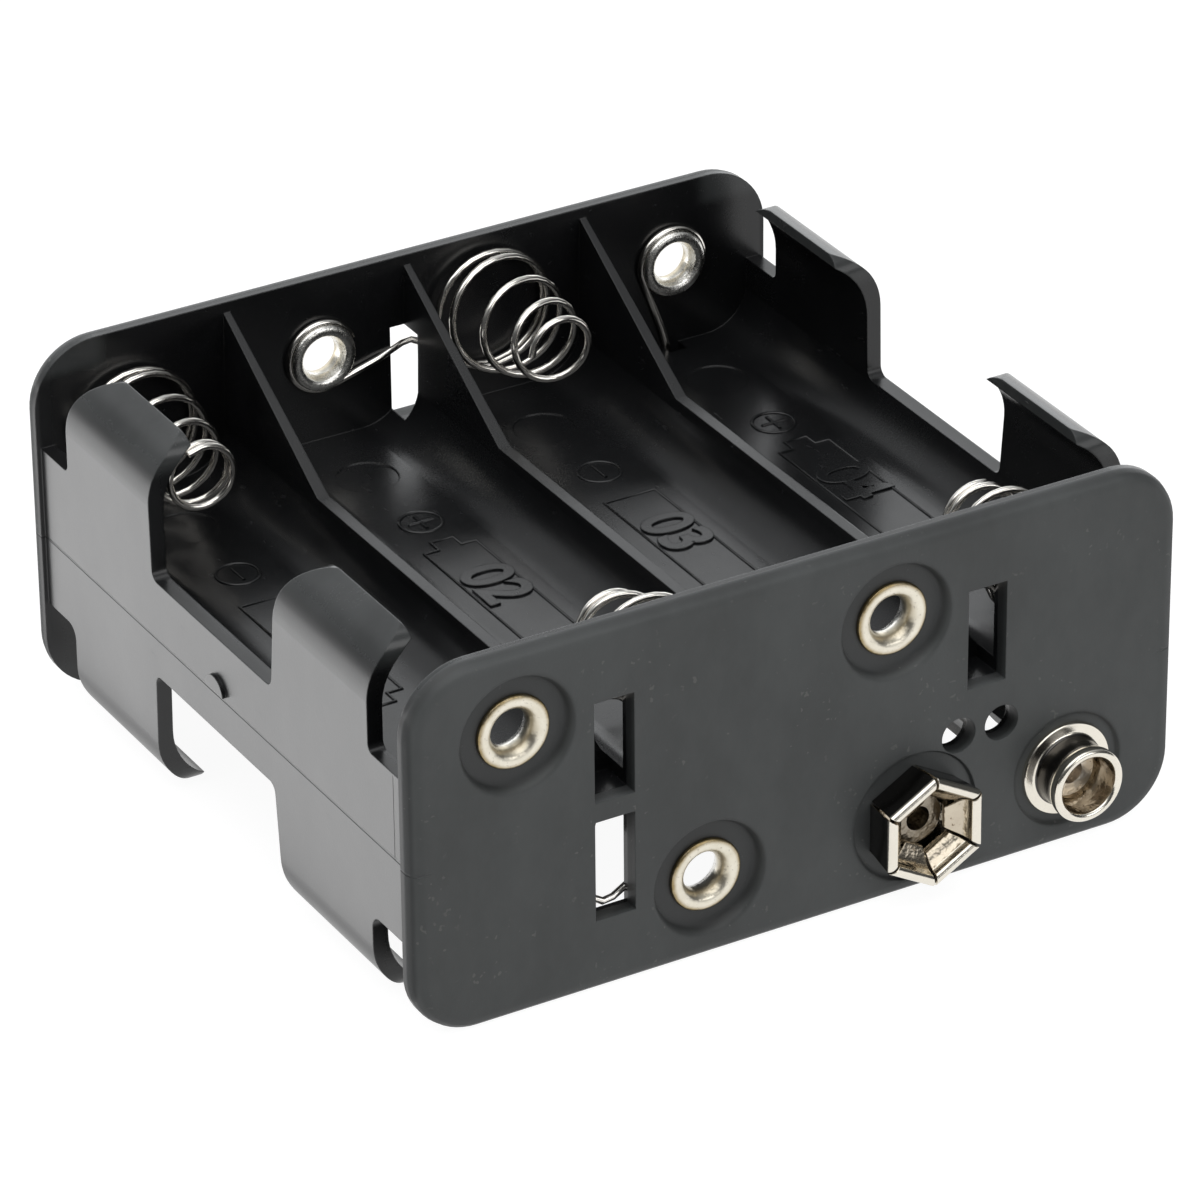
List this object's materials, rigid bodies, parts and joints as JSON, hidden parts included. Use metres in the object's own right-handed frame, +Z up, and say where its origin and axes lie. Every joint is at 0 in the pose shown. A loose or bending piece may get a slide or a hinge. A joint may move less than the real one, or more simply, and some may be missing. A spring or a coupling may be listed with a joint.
{
  "type": "battery holder",
  "caption": "Open moulded holder for cylindrical cells on both faces, with coil spring and eyelet contacts and a pair of press snap terminals on one end.",
  "frame": {"origin": "middle of the foot of the whole part, on the surface that the plates' lower edges stand on", "axes": "+Z up, square to the floor that parts the upper bays from the lower ones; X across the bays; Y along the cells, with the snap terminals on the -Y side"},
  "size_m": [0.0616, 0.0604, 0.0285],
  "materials": {
    "black_plastic": "semi-gloss moulded",
    "eyelet_plate": "nickel plated, slightly rough",
    "spring_wire": "bright nickel plated wire",
    "snap_metal": "bright nickel plate"
  },
  "bodies": {
    "root": {"eyelet_back_lower_1": "eyelet_plate", "eyelet_back_lower_3": "eyelet_plate", "eyelet_back_upper_2": "eyelet_plate", "eyelet_back_upper_4": "eyelet_plate", "eyelet_front_lower_2": "eyelet_plate", "eyelet_front_upper_1": "eyelet_plate", "eyelet_front_upper_3": "eyelet_plate", "holder_body": "black_plastic", "snap_socket": "snap_metal", "snap_stud": "snap_metal", "socket_rivet": "snap_metal", "spring_back_lower_2": "spring_wire", "spring_back_lower_4": "spring_wire", "spring_back_upper_1": "spring_wire", "spring_back_upper_3": "spring_wire", "spring_front_lower_1": "spring_wire", "spring_front_lower_3": "spring_wire", "spring_front_upper_2": "spring_wire", "spring_front_upper_4": "spring_wire", "stud_rivet": "snap_metal"}
  },
  "joints": []
}
